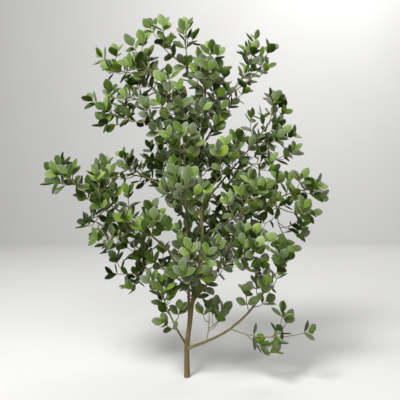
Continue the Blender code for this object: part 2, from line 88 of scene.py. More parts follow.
# at is the share of the parent's length where it starts. reach runs from there to the tip:
# across, back, up. arch lifts the middle, and a negative one lets it sag and turn up.
Limb = namedtuple("Limb", "name parent at reach arch rootRadius tipRadius")
limbs = (
    Limb("second_stem", "trunk", 0.16, (-0.006, -0.036, 0.247), 0.000, 0.0024, 0.0011),
    Limb("bough_low_right", "trunk", 0.09, (0.127, -0.045, 0.116), -0.018, 0.0021, 0.0013),
    Limb("bough_low_left", "trunk", 0.10, (-0.027, -0.020, 0.056), -0.002, 0.0018, 0.0012),
    Limb("bough_long_left", "second_stem", 0.37, (-0.170, -0.042, 0.129), 0.008, 0.0016, 0.0010),
    Limb("bough_lower_left", "second_stem", 0.25, (-0.096, 0.063, 0.064), -0.002, 0.0013, 0.0010),
    Limb("bough_left_middle", "second_stem", 0.75, (-0.097, 0.086, 0.051), 0.011, 0.0012, 0.0010),
    Limb("bough_left_high", "trunk", 0.65, (-0.076, -0.023, 0.081), 0.002, 0.0013, 0.0010),
    Limb("bough_upper_left", "trunk", 0.72, (-0.062, -0.035, 0.104), -0.004, 0.0013, 0.0010),
    Limb("bough_upper_left_long", "bough_upper_left", 0.54, (-0.069, 0.050, 0.069), 0.002, 0.0011, 0.0010),
    Limb("bough_right_fork", "trunk", 0.24, (0.071, -0.060, 0.142), -0.012, 0.0018, 0.0010),
    Limb("bough_right_low", "trunk", 0.44, (0.144, -0.027, 0.074), 0.006, 0.0015, 0.0010),
    Limb("bough_right_upper", "trunk", 0.54, (0.123, 0.063, 0.151), -0.002, 0.0015, 0.0010),
    Limb("bough_upper_right", "trunk", 0.73, (0.055, 0.045, 0.104), 0.000, 0.0013, 0.0010),
    Limb("bough_back_right", "trunk", 0.36, (0.046, 0.106, 0.085), -0.003, 0.0015, 0.0010),
    Limb("bough_back_left", "trunk", 0.47, (-0.067, 0.110, 0.081), 0.003, 0.0015, 0.0010),
)

# reach runs from the limb to the outermost leaf, and twigs is how many spring from the stem.
Spray = namedtuple("Spray", "name limb at reach twigs")
sprays = (
    Spray("foliage_top_leader", "trunk", 1.00, (-0.008, 0.002, 0.077), 1),
    Spray("foliage_top_left", "trunk", 0.98, (-0.078, -0.036, 0.066), 1),
    Spray("foliage_top_centre", "trunk", 0.89, (0.010, -0.050, 0.074), 2),
    Spray("foliage_inner_high", "trunk", 0.74, (-0.042, -0.045, 0.090), 4),
    Spray("foliage_top_right", "bough_upper_right", 1.00, (0.040, 0.020, 0.093), 2),
    Spray("foliage_top_right_far", "bough_upper_right", 0.86, (0.073, -0.012, 0.081), 1),
    Spray("foliage_upper_right_inner", "bough_upper_right", 0.16, (0.027, -0.030, 0.051), 3),
    Spray("foliage_upper_left_tip", "bough_upper_left", 1.00, (-0.050, -0.022, 0.052), 3),
    Spray("foliage_upper_left_far", "bough_upper_left_long", 1.00, (-0.071, 0.018, 0.038), 2),
    Spray("foliage_upper_left_low", "bough_upper_left_long", 0.50, (-0.090, 0.060, -0.002), 2),
    Spray("foliage_left_high_tip", "bough_left_high", 0.88, (-0.110, -0.012, 0.034), 3),
    Spray("foliage_second_stem_tip", "second_stem", 1.00, (-0.004, -0.033, 0.059), 3),
    Spray("foliage_second_stem_front", "second_stem", 0.72, (-0.016, -0.090, 0.061), 3),
    Spray("foliage_front_low", "second_stem", 0.30, (0.005, -0.102, 0.060), 3),
    Spray("foliage_left_middle_tip", "bough_left_middle", 1.00, (-0.074, 0.028, 0.001), 2),
    Spray("foliage_left_middle_rise", "bough_left_middle", 0.62, (-0.056, 0.025, 0.049), 1),
    Spray("foliage_long_left_tip", "bough_long_left", 1.00, (-0.039, -0.010, -0.007), 2),
    Spray("foliage_long_left_rise", "bough_long_left", 0.94, (-0.036, 0.002, 0.047), 1),
    Spray("foliage_long_left_mid_rise", "bough_long_left", 0.68, (-0.022, -0.050, 0.054), 2),
    Spray("foliage_long_left_mid_drop", "bough_long_left", 0.70, (-0.046, 0.051, -0.032), 2),
    Spray("foliage_long_left_inner_drop", "bough_long_left", 0.43, (-0.072, -0.055, -0.015), 2),
    Spray("foliage_long_left_inner_rise", "bough_long_left", 0.34, (0.010, -0.072, 0.030), 2),
    Spray("foliage_lower_left_tip", "bough_lower_left", 1.00, (-0.059, 0.030, -0.011), 2),
    Spray("foliage_lower_left_drop", "bough_lower_left", 0.50, (-0.090, 0.030, -0.024), 3),
    Spray("foliage_low_left", "bough_low_left", 1.00, (-0.013, -0.014, 0.064), 4),
    Spray("foliage_back_left", "bough_back_left", 1.00, (-0.008, 0.040, 0.072), 3),
    Spray("foliage_back_left_rise", "bough_back_left", 0.54, (0.015, 0.067, 0.093), 3),
    Spray("foliage_back_right", "bough_back_right", 1.00, (0.045, 0.042, 0.064), 3),
    Spray("foliage_back_right_low", "bough_back_right", 0.55, (0.054, 0.070, 0.008), 2),
    Spray("foliage_right_fork_tip", "bough_right_fork", 1.00, (0.018, -0.016, 0.058), 3),
    Spray("foliage_right_fork_side", "bough_right_fork", 0.50, (0.068, -0.070, 0.040), 3),
    Spray("foliage_low_right_tip", "bough_low_right", 1.00, (0.022, 0.004, 0.047), 3),
    Spray("foliage_low_right_outer", "bough_low_right", 0.42, (0.130, -0.030, 0.000), 2),
    Spray("foliage_low_right_rise", "bough_low_right", 0.19, (0.006, 0.012, 0.066), 2),
    Spray("foliage_right_low_tip", "bough_right_low", 1.00, (0.043, -0.010, 0.009), 2),
    Spray("foliage_right_low_inner", "bough_right_low", 0.72, (0.071, -0.044, -0.022), 2),
    Spray("foliage_right_low_drop", "bough_right_low", 0.78, (0.030, 0.015, -0.092), 3),
    Spray("foliage_right_upper_tip", "bough_right_upper", 1.00, (0.004, 0.016, 0.045), 2),
    Spray("foliage_right_upper_side", "bough_right_upper", 0.70, (0.076, -0.001, 0.012), 2),
    Spray("foliage_right_upper_low", "bough_right_upper", 0.47, (0.106, 0.050, 0.022), 2),
    Spray("foliage_right_inner", "trunk", 0.57, (0.062, -0.057, 0.100), 3),
)

# Sprays set round the trunk by the same turn: how many, the shares of the trunk's length that
# they start at, how far out and up the lowest and the highest reach, the angle of the lowest
# and how many side twigs each has.
Ring = namedtuple("Ring", "name limb count shares out rise first twigs")
ring = Ring("foliage_inner_trunk", "trunk", 3, (0.40, 0.88), (0.105, 0.070), (0.045, 0.050), -5, 2)


# how the stems and their first side twigs grow, as in the solids
growth = {
    "limbSteps": 3,
    "limbWobble": 0.0012,
    "internode": 0.031,
    "stemRadius": (0.0010, 0.0006),
    "stemSag": 0.09,
    "twigRadius": (0.0007, 0.0005),
    "twigSteps": 2,
    "twigShare": (0.26, 0.42),  # of the stem's length
    "twigAngle": math.radians(52),
    "twigZone": (0.14, 0.82),
    "twigPlay": (0.2, 0.8),
    "twigRise": 0.15,
    "twigSag": 0.10,
    "twigWobble": 0.0004,
    "solidLeaf": 0.030,
    "leafReach": 0.75,
}


def acrossOf(direction):
    side = direction.cross(up)
    if side.length < 0.1 * direction.length:
        side = direction.cross(acrossX)
    return side.normalized()


def smoothRun(points, steps):
    # a smooth curve through the given points, with their radii as a fourth number
    run = []
    last = len(points) - 1
    for i in range(last):
        before, a, b, after = (points[max(0, min(last, i + k))] for k in (-1, 0, 1, 2))
        for s in range(steps):
            t = s / steps
            bend = (b - before) * 0.5 * t * (1 - t) ** 2 - (after - a) * 0.5 * (1 - t) * t ** 2
            run.append(a.lerp(b, t * t * (3 - 2 * t)) + bend)
    run.append(points[last])
    return run


def lengthOf(run):
    return sum((b - a).to_3d().length for a, b in zip(run, run[1:]))


def placeOn(run, share):
    left = share * lengthOf(run)
    for i in range(len(run) - 1):
        length = (run[i + 1] - run[i]).to_3d().length
        if left <= length or i == len(run) - 2:
            here = run[i].lerp(run[i + 1], min(1, left / length))
            return here.to_3d(), (run[i + 1] - run[i]).to_3d().normalized(), here.w
        left -= length


def archedRun(root, reach, arch, radii, steps, wobble, dice):
    side = acrossOf(reach)
    lift = side.cross(reach).normalized()
    run = []
    for i in range(steps + 1):
        t = i / steps
        here = root + reach * t + lift * (arch * 4 * t * (1 - t))
        if 0 < i < steps:
            here += side * dice.uniform(-wobble, wobble) + lift * dice.uniform(-wobble, wobble)
        run.append(here.to_4d())
        run[-1].w = radii[0] + (radii[1] - radii[0]) * t
    return run


def growLimbs():
    runs = {"trunk": [Vector((x, y, z, r)) for z, x, y, r in trunkRun]}
    for limb in limbs:
        root = placeOn(runs[limb.parent], limb.at)[0]
        dice = random.Random(limb.name)
        rough = archedRun(
            root, Vector(limb.reach), limb.arch, (limb.rootRadius, limb.tipRadius),
            growth["limbSteps"], growth["limbWobble"], dice,
        )
        runs[limb.name] = smoothRun(rough, 2)
    return runs


def ringSprays():
    rows = []
    for k in range(ring.count):
        t = k / (ring.count - 1)
        angle = math.radians(ring.first) + k * turnAngle
        at, out, rise = (pair[0] + (pair[1] - pair[0]) * t for pair in (ring.shares, ring.out, ring.rise))
        reach = (out * math.cos(angle), out * math.sin(angle), rise)
        rows.append(Spray(f"{ring.name}_{k + 1}", ring.limb, at, reach, ring.twigs))
    return tuple(rows)


def stemRun(spray, limbRuns, dice):
    root = placeOn(limbRuns[spray.limb], spray.at)[0]
    reach = Vector(spray.reach)
    reach *= 1 - growth["leafReach"] * growth["solidLeaf"] / reach.length
    steps = max(2, round(reach.length / growth["internode"]))
    sag = -growth["stemSag"] * reach.length
    return archedRun(root, reach, sag, growth["stemRadius"], steps, growth["limbWobble"], dice)


def sideTwigs(stem, count, dice):
    # each side twig is turned on from the last by the same angle
    length = lengthOf(stem)
    phase = dice.uniform(0, math.tau)
    low, high = growth["twigZone"]
    runs = []
    for k in range(count):
        share = low + (high - low) * (k + dice.uniform(*growth["twigPlay"])) / count
        root, axis = placeOn(stem, share)[:2]
        side = Matrix.Rotation(phase + k * turnAngle, 3, axis) @ acrossOf(axis)
        heading = axis * math.cos(growth["twigAngle"]) + side * math.sin(growth["twigAngle"])
        heading += up * growth["twigRise"]
        size = dice.uniform(*growth["twigShare"]) * length
        sag = -growth["twigSag"] * size
        reach = heading.normalized() * size
        runs.append(
            archedRun(root, reach, sag, growth["twigRadius"], growth["twigSteps"], growth["twigWobble"], dice)
        )
    return runs


# what grows on from there: more side twigs along each stem, and twiglets along those
fineGrowth = {
    "tipShoot": (0.003, 0.007),  # by which a stem outgrows the solid's, as its leaves are smaller
    "upturn": (0.003, 0.010),  # shoots that turn up from the ends of the side twigs
    "upturnRise": 1.1,
    "limbTwig": {
        "spacing": (0.0112, 0.0022), "length": (0.018, 0.038), "angle": math.radians(58), "zone": (0.30, 0.98),
        "radius": (0.0008, 0.0005),
    },
    "bareLimbs": {
        "trunk": 0.22, "second_stem": 0.12, "bough_low_right": 0.60, "bough_low_left": 0.45,
        "bough_right_fork": 0.10, "bough_lower_left": 0.15, "bough_left_middle": 0.60, "bough_back_left": 0.50,
    },
    "sideTwig": {
        "spacing": (0.044, 0.0066), "length": (0.020, 0.040), "angle": math.radians(52), "zone": (0.06, 0.62),
        "radius": (0.0007, 0.0005),
    },
    "twiglet": {
        "spacing": (0.020, 0), "length": (0.013, 0.024), "angle": math.radians(52), "zone": (0.25, 0.85),
        "radius": (0.0005, 0.0004),
    },
    "twigletsTo": 0.50,  # side twigs further out along the stem have none
    "play": (0.2, 0.8),
    "rise": 0.55,
    "sag": 0.13,
    "wobble": 0.0005,
    "lowest": 0.012,  # no finer twig ends below this height
}


def withShoot(run, lengths, rise, dice):
    # the same run, grown on by a short shoot
    heading = (run[-1] - run[-2]).to_3d().normalized() + up * rise
    tip = (run[-1].to_3d() + heading.normalized() * dice.uniform(*lengths)).to_4d()
    tip.w = run[-1].w
    return run + [tip]


def finerTwigs(run, kind, fullness, dice, bare=None):
    length = lengthOf(run)
    low, high = kind["zone"]
    low = bare or low
    sparse, closer = kind["spacing"]
    count = round((high - low) * length / (sparse - closer * fullness))
    phase = dice.uniform(0, math.tau)
    runs = []
    for k in range(count):
        share = low + (high - low) * (k + dice.uniform(*fineGrowth["play"])) / count
        root, axis = placeOn(run, share)[:2]
        side = Matrix.Rotation(phase + k * turnAngle, 3, axis) @ acrossOf(axis)
        heading = axis * math.cos(kind["angle"]) + side * math.sin(kind["angle"]) + up * fineGrowth["rise"]
        size = min(dice.uniform(*kind["length"]), length * 0.7)
        reach = heading.normalized() * size
        if (root + reach).z < fineGrowth["lowest"]:
            continue
        runs.append(
            archedRun(root, reach, -fineGrowth["sag"] * size, kind["radius"], 2, fineGrowth["wobble"], dice)
        )
    return runs


# leaves in opposite pairs, and a close set of pairs at every tip
leafing = {
    "pairSpacing": (0.0160, 0.13),  # on the shortest run, and what each metre of length adds
    "spacingPlay": (0.9, 1.15),
    "opener": {  # sprays whose pairs stand further apart, where the sky shows between them
        "foliage_low_right_rise": 2.2, "foliage_low_right_outer": 1.35, "foliage_low_right_tip": 1.3,
        "foliage_top_leader": 1.4, "foliage_top_right_far": 1.4, "foliage_left_middle_rise": 1.5,
        "foliage_right_upper_tip": 1.3, "foliage_left_middle_tip": 1.3,
    },
    "bareFoot": 0.007,  # of each stem and twig
    "oldSpread": 62,  # degrees from the twig
    "oldSize": (0.80, 1.08),
    "tipPairs": (  # spread, size, distance below the tip, how often
        (54, 1.00, 0.0070, 1.0),
        (33, 0.92, 0.0008, 1.0),
        (12, 0.45, 0.0000, 0.35),
    ),
    "turnPlay": 0.35,
    "spreadPlay": 14,
    "sizePlay": 0.10,
    "lift": 0.22,  # how far the leaves turn up
    "faceUp": 0.45,
    "faceFront": (0.30, 1.4),  # towards the brighter side, and more for each metre up
    "faceOut": 0.55,
    "trunkShows": {"from": 0.06, "to": 0.33, "half": 0.011, "share": 0.88},
    "tries": 5,
    "lowest": 0.004,
}

# pair is 0 for the innermost of a tip, 1 for its others and 2 for older pairs further down
Seat = namedtuple("Seat", "foot axis turn spread size pair")


def leafSeats(run, opener, dice):
    length = lengthOf(run)
    turn = dice.uniform(0, math.pi)
    seats = []
    tip = run[-1].to_3d()
    axis = (run[-1] - run[-2]).to_3d().normalized()
    for k, (spread, size, below, chance) in enumerate(leafing["tipPairs"]):
        turn += math.pi / 2
        if dice.random() > chance:
            continue
        pair = 0 if k == len(leafing["tipPairs"]) - 1 else 1
        for half in range(2):
            grown = size * (1 + dice.uniform(-leafing["sizePlay"], leafing["sizePlay"]))
            seats.append(Seat(tip - axis * below, axis, turn + half * math.pi, spread, grown, pair))
    turn -= math.pi * len(leafing["tipPairs"]) / 2
    spacing = opener * (leafing["pairSpacing"][0] + leafing["pairSpacing"][1] * length)
    below = spacing
    while length - below > leafing["bareFoot"]:
        foot, axis, _ = placeOn(run, 1 - below / length)
        for half in range(2):
            size = dice.uniform(*leafing["oldSize"])
            seats.append(Seat(foot, axis, turn + half * math.pi, leafing["oldSpread"], size, 2))
        turn += math.pi / 2
        below += spacing * dice.uniform(*leafing["spacingPlay"])
    return seats


def meshPiece(name, points, faces, materials, slots=None):
    mesh = bpy.data.meshes.new(name)
    mesh.from_pydata(points, [], faces)
    for material in materials:
        mesh.materials.append(material)
    if slots:
        mesh.polygons.foreach_set("material_index", slots)
    mesh.update()
    piece = bpy.data.objects.new(name, mesh)
    bpy.context.scene.collection.objects.link(piece)
    mesh.shade_smooth()
    return piece


def storePlaces(mesh, name, places):
    # a vector for each point, which the material reads
    values = [number for place in places for number in place]
    mesh.attributes.new(name, "FLOAT_VECTOR", "POINT").data.foreach_set("vector", values)


def carried(run):
    # a frame at each point of a run, carried along it without twist
    frames = []
    side = None
    distance = 0
    for i, here in enumerate(run):
        along = (run[min(i + 1, len(run) - 1)] - run[max(i - 1, 0)]).to_3d().normalized()
        side = acrossOf(along) if side is None else (side - along * side.dot(along)).normalized()
        if i:
            distance += (here - run[i - 1]).to_3d().length
        frames.append((here.to_3d(), here.w, side, along.cross(side), distance))
    return frames


def tube(run, corners):
    # rings of points round a run, their faces, and where each point lies on the bark
    points, places = [], []
    for centre, radius, side, lift, distance in carried(run):
        for k in range(corners):
            angle = math.tau * k / corners
            points.append(centre + (side * math.cos(angle) + lift * math.sin(angle)) * radius)
            places.append((radius * math.cos(angle), radius * math.sin(angle), distance))
    faces = []
    for a in range(0, len(points) - corners, corners):
        for k in range(corners):
            n = (k + 1) % corners
            faces.append((a + k, a + n, a + n + corners, a + k + corners))
    faces.append(tuple(reversed(range(corners))))
    faces.append(tuple(range(len(points) - corners, len(points))))
    return points, faces, places


def addNode(tree, kind, values=(), **settings):
    node = tree.nodes.new(kind)
    for key, value in settings.items():
        setattr(node, key, value)
    for key, value in dict(values).items():
        node.inputs[key].default_value = value
    return node


def newGroup(name, inputs):
    # a shader group that puts out a colour and a height
    group = bpy.data.node_groups.new(name, "ShaderNodeTree")
    for label, kind in inputs:
        group.interface.new_socket(label, in_out="INPUT", socket_type="NodeSocket" + kind)
    group.interface.new_socket("Color", in_out="OUTPUT", socket_type="NodeSocketColor")
    group.interface.new_socket("Height", in_out="OUTPUT", socket_type="NodeSocketFloat")
    return group, group.nodes.new("NodeGroupInput"), group.nodes.new("NodeGroupOutput")


def mapped(group, source, low, high, toLow, toHigh):
    # a value drawn from one range to another
    node = addNode(group, "ShaderNodeMapRange", {1: low, 2: high, 3: toLow, 4: toHigh}, clamp=True)
    group.links.new(source, node.inputs[0])
    return node.outputs[0]


def combined(group, operation, a, b):
    node = addNode(group, "ShaderNodeMath", operation=operation)
    for k, value in enumerate((a, b)):
        if isinstance(value, (int, float)):
            node.inputs[k].default_value = value
        else:
            group.links.new(value, node.inputs[k])
    return node.outputs[0]


def blended(group, factor, a, b):
    node = addNode(group, "ShaderNodeMix", data_type="RGBA")
    for label, value in (("Factor", factor), ("A", a), ("B", b)):
        group.links.new(value, node.inputs[label])
    return node.outputs["Result"]


def makeBarkPaint():
    # streaks along the limb, broad patches and, further up, a paler colour that is painted light,
    # lifting the bark where the crown shades it; all on the place that each point keeps
    group, start, end = newGroup("barkPaint", (("Dark", "Color"), ("Light", "Color"), ("Patch", "Color"),
                                               ("Young", "Color"), ("Patches", "Float")))
    place = addNode(group, "ShaderNodeAttribute", attribute_name="barkPlace")
    stretch = addNode(group, "ShaderNodeMapping", {"Scale": (1, 1, 0.09)})
    streaks = addNode(group, "ShaderNodeTexNoise", {"Scale": 780, "Detail": 4, "Roughness": 0.6})
    squash = addNode(group, "ShaderNodeMapping", {"Scale": (1, 1, 0.45)})
    patches = addNode(group, "ShaderNodeTexNoise", {"Scale": 95, "Detail": 3, "Roughness": 0.55})
    for mapping, texture in ((stretch, streaks), (squash, patches)):
        group.links.new(place.outputs["Vector"], mapping.inputs["Vector"])
        group.links.new(mapping.outputs["Vector"], texture.inputs["Vector"])
    streak = mapped(group, streaks.outputs["Fac"], 0.34, 0.66, 0, 1)
    patch = mapped(group, patches.outputs["Fac"], 0.44, 0.62, 0, 1)
    colour = blended(group, streak, start.outputs["Dark"], start.outputs["Light"])
    amount = combined(group, "MULTIPLY", patch, start.outputs["Patches"])
    colour = blended(group, amount, colour, start.outputs["Patch"])
    split = addNode(group, "ShaderNodeSeparateXYZ")
    group.links.new(place.outputs["Vector"], split.inputs["Vector"])
    # painted light: the bark turns paler further up, where the crown shades it
    young = mapped(group, split.outputs["Z"], 0.11, 0.23, 0, 0.7)
    group.links.new(blended(group, young, colour, start.outputs["Young"]), end.inputs["Color"])
    group.links.new(streak, end.inputs["Height"])
    return group


def makeLeafPaint():
    # a tone for each leaf, a paler midrib with side veins, a pale rim and a yellower foot,
    # which is partly painted light shining through the leaf
    labels = ("Dark", "Light", "Rib", "Foot", "Rim")
    group, start, end = newGroup("leafPaint", [(label, "Color") for label in labels])
    place = addNode(group, "ShaderNodeAttribute", attribute_name="leafPlace")
    split = addNode(group, "ShaderNodeSeparateXYZ")
    group.links.new(place.outputs["Vector"], split.inputs["Vector"])
    along, toMargin, chance = split.outputs
    offMidrib = combined(group, "ABSOLUTE", toMargin, 0)
    coords = addNode(group, "ShaderNodeTexCoord")
    grain = addNode(group, "ShaderNodeTexNoise", {"Scale": 260, "Detail": 3, "Roughness": 0.6})
    group.links.new(coords.outputs["Object"], grain.inputs["Vector"])
    mottle = mapped(group, grain.outputs["Fac"], 0.3, 0.7, -0.22, 0.22)
    tone = combined(group, "ADD", chance, mottle)
    colour = blended(group, mapped(group, tone, 0, 1, 0, 1), start.outputs["Dark"], start.outputs["Light"])
    midrib = mapped(group, offMidrib, 0.02, 0.13, 0.75, 0)
    # the foot: partly the leaf's own yellower base, partly painted light shining through the leaf
    footAlong = mapped(group, along, 0.20, 0.95, 1, 0)
    footAcross = mapped(group, offMidrib, 0.25, 1.0, 1, 0.40)
    foot = combined(group, "MULTIPLY", footAlong, footAcross)
    forward = combined(group, "MULTIPLY", along, 42)
    sideways = combined(group, "MULTIPLY", offMidrib, 9)
    wave = combined(group, "SINE", combined(group, "SUBTRACT", forward, sideways), 0)
    veins = mapped(group, wave, 0.55, 1, 0, 0.22)
    rib = combined(group, "MAXIMUM", midrib, veins)
    colour = blended(group, rib, colour, start.outputs["Rib"])
    colour = blended(group, foot, colour, start.outputs["Foot"])
    rim = mapped(group, offMidrib, 0.74, 1.0, 0, 0.6)
    group.links.new(blended(group, rim, colour, start.outputs["Rim"]), end.inputs["Color"])
    group.links.new(combined(group, "SUBTRACT", 1, rib), end.inputs["Height"])
    return group


def painted(name, group, colours, finish, relief, depth, values=()):
    # a material whose colour and relief come from a group
    material = bpy.data.materials.new(name)
    material.use_nodes = True
    tree = material.node_tree
    shader = tree.nodes["Principled BSDF"]
    for label, value in finish.items():
        shader.inputs[label].default_value = value
    paint = addNode(tree, "ShaderNodeGroup", node_tree=group)
    for label, colour in colours.items():
        paint.inputs[label].default_value = (*colour, 1)
    for label, value in dict(values).items():
        paint.inputs[label].default_value = value
    bump = addNode(tree, "ShaderNodeBump", {"Strength": relief, "Distance": depth})
    tree.links.new(paint.outputs["Color"], shader.inputs["Base Color"])
    tree.links.new(paint.outputs["Height"], bump.inputs["Height"])
    tree.links.new(bump.outputs["Normal"], shader.inputs["Normal"])
    return material


def dress(piece, slot, *nodes):
    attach(piece, "root")
    if nodes:
        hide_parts(*nodes)


bark = {
    "corners": 12,
    "finish": {"Roughness": 0.80, "Specular IOR Level": 0.25},
    "relief": (0.5, 0.0004),  # strength and depth of the fine streaks
    "steps": 3,  # rings from one row of a run to the next
    "levels": 2,
    "cutEdge": 0.0007,  # height of the worn edge of the cut foot
    "furrow": 0.07,  # depth of the lengthwise furrows, as a share of the radius
    "furrowPitch": 0.0016,
    "furrowLength": 0.012,
    "nodeSwell": 0.13,  # ridges where leaves once stood
    "nodeSpacing": 0.019,
    "nodeWidth": 0.0013,
    "knot": 0.16,
    "knotPitch": 0.016,
    "collar": 0.55,  # how much wider a bough is where it leaves its parent
    "collarLength": 0.0035,
    # the last colour of each set is painted light: a paler bark further up, where the crown shades it
    "trunkColours": {"Dark": (0.092, 0.068, 0.022), "Light": (0.24, 0.196, 0.074), "Patch": (0.180, 0.116, 0.058),
                     "Young": (0.600, 0.490, 0.240)},
    "boughColours": {"Dark": (0.102, 0.080, 0.027), "Light": (0.25, 0.215, 0.084), "Patch": (0.180, 0.120, 0.058),
                    "Young": (0.360, 0.310, 0.140)},
    "youngColours": {"Dark": (0.085, 0.080, 0.020), "Light": (0.20, 0.195, 0.066), "Patch": (0.165, 0.112, 0.052),
                     "Young": (0.420, 0.370, 0.170)},
    "young": ("second_stem", "bough_upper_left_long", "bough_left_middle", "bough_upper_right"),
    "patches": {"trunk": 0.75, "second_stem": 0.6},
    "otherPatches": 0.4,
}


def barkRelief(name, place, distance, fromStart):
    # by what share of the radius the bark stands out at one point
    seed = Vector((sum(map(ord, name)) * 0.37, len(name) * 1.9, 0))
    wound = Vector((place.x / bark["furrowPitch"], place.y / bark["furrowPitch"], distance / bark["furrowLength"]))
    relief = bark["furrow"] * noise.noise(wound + seed)
    knot = noise.noise(Vector((place.x, place.y, distance)) / bark["knotPitch"] + seed)
    relief += bark["knot"] * max(0, knot - 0.1) ** 2
    if name != "trunk":
        toNode = (distance % bark["nodeSpacing"]) - bark["nodeSpacing"] / 2
        relief += bark["nodeSwell"] * math.exp(-((toNode / bark["nodeWidth"]) ** 2))
        relief += bark["collar"] * math.exp(-fromStart / bark["collarLength"])
    return relief


def limbPiece(name, run, parentRadius, material):
    # a filled circle at the foot, extruded along the run, each ring turned square to it
    path = smoothRun(run, bark["steps"])
    path.insert(1, path[0].lerp(path[1], bark["cutEdge"] / (path[1] - path[0]).to_3d().length))
    fuller = 6 / (4 + 2 * math.cos(math.tau / bark["corners"]))  # what smoothing takes off a ring
    bpy.ops.object.select_all(action="DESELECT")
    bpy.ops.mesh.primitive_circle_add(
        vertices=bark["corners"], radius=path[0].w * fuller, fill_type="NGON", location=path[0].to_3d()
    )
    limb = bpy.context.object
    limb.name = limb.data.name = name + "_bark"
    bpy.ops.object.transform_apply(location=True, rotation=True, scale=True)
    bpy.ops.object.mode_set(mode="EDIT")
    heading = up
    for i, here in enumerate(path):
        if i:
            step = (here - path[i - 1]).to_3d()
            bpy.ops.mesh.extrude_region_move(TRANSFORM_OT_translate={"value": step})
            grown = here.w / path[i - 1].w
            bpy.ops.transform.resize(value=(grown, grown, grown), center_override=here.to_3d())
        along = (path[min(i + 1, len(path) - 1)] - path[max(i - 1, 0)]).to_3d().normalized()
        turn = heading.rotation_difference(along).to_matrix()
        work = bmesh.from_edit_mesh(limb.data)
        bmesh.ops.rotate(work, cent=here.to_3d(), matrix=turn, verts=[v for v in work.verts if v.select])
        bmesh.update_edit_mesh(limb.data)
        heading = along
    bpy.ops.mesh.select_all(action="SELECT")
    bpy.ops.mesh.normals_make_consistent(inside=False)
    bpy.ops.object.mode_set(mode="OBJECT")
    smooth = limb.modifiers.new("smooth", "SUBSURF")
    smooth.levels = smooth.render_levels = bark["levels"]
    bpy.ops.object.modifier_apply(modifier="smooth")
    addRelief(limb.data, name, path, parentRadius)
    limb.data.shade_smooth()
    limb.data.materials.append(material)
    return limb


def addRelief(mesh, name, path, parentRadius):
    frames = carried(smoothRun(path, 6))
    tree = KDTree(len(frames))
    for i, spot in enumerate(frames):
        tree.insert(spot[0], i)
    tree.balance()
    places = []
    for vert in mesh.vertices:
        centre, radius, side, lift, distance = frames[tree.find(vert.co)[1]]
        out = vert.co - centre
        place = Vector((out.dot(side), out.dot(lift), distance))
        places.append(place)
        if vert.co.z > bark["cutEdge"] / 2 or name != "trunk":
            vert.co += out * barkRelief(name, place, distance, max(0, distance - parentRadius))
    storePlaces(mesh, "barkPlace", places)


def barkMaterial(name, colours, patches):
    return painted(name, barkPaint, colours, bark["finish"], *bark["relief"], {"Patches": patches})


limbRuns = growLimbs()
barkPaint = makeBarkPaint()
for name, run in limbRuns.items():
    kind = "trunkColours" if name == "trunk" else "youngColours" if name in bark["young"] else "boughColours"
    patches = bark["patches"].get(name, bark["otherPatches"])
    parent = next((limb for limb in limbs if limb.name == name), None)
    parentRadius = placeOn(limbRuns[parent.parent], parent.at)[2] if parent else 0
    piece = limbPiece(name, run, parentRadius, barkMaterial(name + "Bark", bark[kind], patches))
    dress(piece, "bark", name)
print("Limbs:", len(limbRuns))


# the leaf's rows from foot to tip: how far along, and how wide
leafForm = {
    "length": 0.0200,
    "width": 0.0134,
    "thickness": 0.00034,
    "outline": ((0.00, 0.08), (0.09, 0.15), (0.26, 0.67), (0.48, 1.00), (0.70, 0.93), (0.88, 0.59), (1.00, 0.13)),
    "forms": (  # width, how far the halves rise from the midrib, how far the tip bends down
        (1.00, 0.17, 0.22),
        (1.08, 0.11, 0.12),
        (0.84, 0.30, 0.40),
    ),
    "bendFrom": 0.3,
    "upperFinish": {"Roughness": 0.46, "Specular IOR Level": 0.18, "Sheen Roughness": 0.30},
    "underFinish": {"Roughness": 0.65, "Specular IOR Level": 0.12, "Sheen Weight": 0.05, "Sheen Roughness": 0.30},
    "veinRelief": 0.35,
    "veinDepth": 0.00025,
}


def leafShape(form):
    # one leaf along +X: a grid whose rows are moved and drawn in to the outline, then folded
    # along its midrib, bent down at its tip and thickened
    wide, fold, bend = form
    length, width, outline = leafForm["length"], leafForm["width"] * wide, leafForm["outline"]
    rows = len(outline) - 1
    bpy.ops.object.select_all(action="DESELECT")
    bpy.ops.mesh.primitive_grid_add(x_subdivisions=rows, y_subdivisions=2, size=1)
    blade = bpy.context.object
    storePlaces(blade.data, "leafPlace", [(v.co.x + 0.5, v.co.y * 2, 0) for v in blade.data.vertices])
    bpy.ops.object.mode_set(mode="EDIT")
    work = bmesh.from_edit_mesh(blade.data)
    rowOf = [round((v.co.x + 0.5) * rows) for v in work.verts]
    midribOf = [abs(v.co.y) < 0.01 for v in work.verts]
    for row, (along, share) in enumerate(outline):
        selectPoints(blade, [r == row for r in rowOf])
        before = row / rows - 0.5
        bpy.ops.transform.resize(value=(1, width * share, 1), center_override=(0, 0, 0))
        drop = bend * length * max(0, along - leafForm["bendFrom"]) ** 2
        bpy.ops.transform.translate(value=(along * length - before, 0, -drop))
    for row, (along, share) in enumerate(outline):
        selectPoints(blade, [r == row and m for r, m in zip(rowOf, midribOf)])
        bpy.ops.transform.translate(value=(0, 0, -fold * width * share))
    bpy.ops.object.mode_set(mode="OBJECT")
    wall = blade.modifiers.new("wall", "SOLIDIFY")
    wall.thickness = leafForm["thickness"]
    wall.offset = -1
    wall.material_offset = 1
    wall.material_offset_rim = 1
    blade.data.materials.append(None)
    blade.data.materials.append(None)
    bpy.ops.object.modifier_apply(modifier="wall")
    mesh = blade.data
    points = [v.co.copy() for v in mesh.vertices]
    faces = [tuple(p.vertices) for p in mesh.polygons]
    slots = [p.material_index for p in mesh.polygons]
    places = [Vector(d.vector) for d in mesh.attributes["leafPlace"].data]
    bpy.data.objects.remove(blade)
    return points, faces, slots, places


